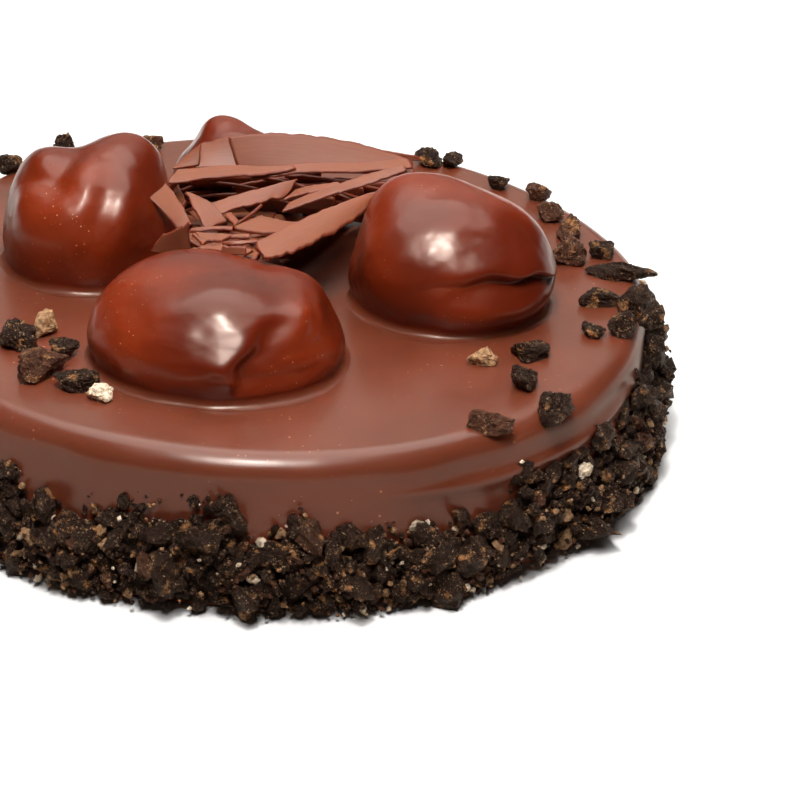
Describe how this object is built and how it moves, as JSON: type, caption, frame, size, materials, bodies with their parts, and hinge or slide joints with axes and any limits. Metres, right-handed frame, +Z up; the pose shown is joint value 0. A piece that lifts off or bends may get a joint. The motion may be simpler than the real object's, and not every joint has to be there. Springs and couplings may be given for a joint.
{
  "type": "profiterole cake",
  "caption": "Round chocolate-glazed cake topped with glazed profiteroles and a heap of chocolate shavings, its lower side coated in dark biscuit crumbs.",
  "frame": {"origin": "middle of the cake's flat underside", "axes": "+Z up out of the cake's top, -Y towards the front profiterole"},
  "size_m": [0.2103, 0.212, 0.0725],
  "materials": {
    "milk_chocolate_glaze": "satin gloss",
    "profiterole_glaze": "gloss",
    "milk_chocolate": "matte",
    "cocoa_biscuit": "matte"
  },
  "bodies": {
    "root": {"glazed_cake": "milk_chocolate_glaze", "profiterole_front": "profiterole_glaze", "profiterole_right": "profiterole_glaze", "profiterole_left": "profiterole_glaze", "profiterole_back": "profiterole_glaze", "chocolate_shavings": "milk_chocolate"}
  },
  "joints": []
}
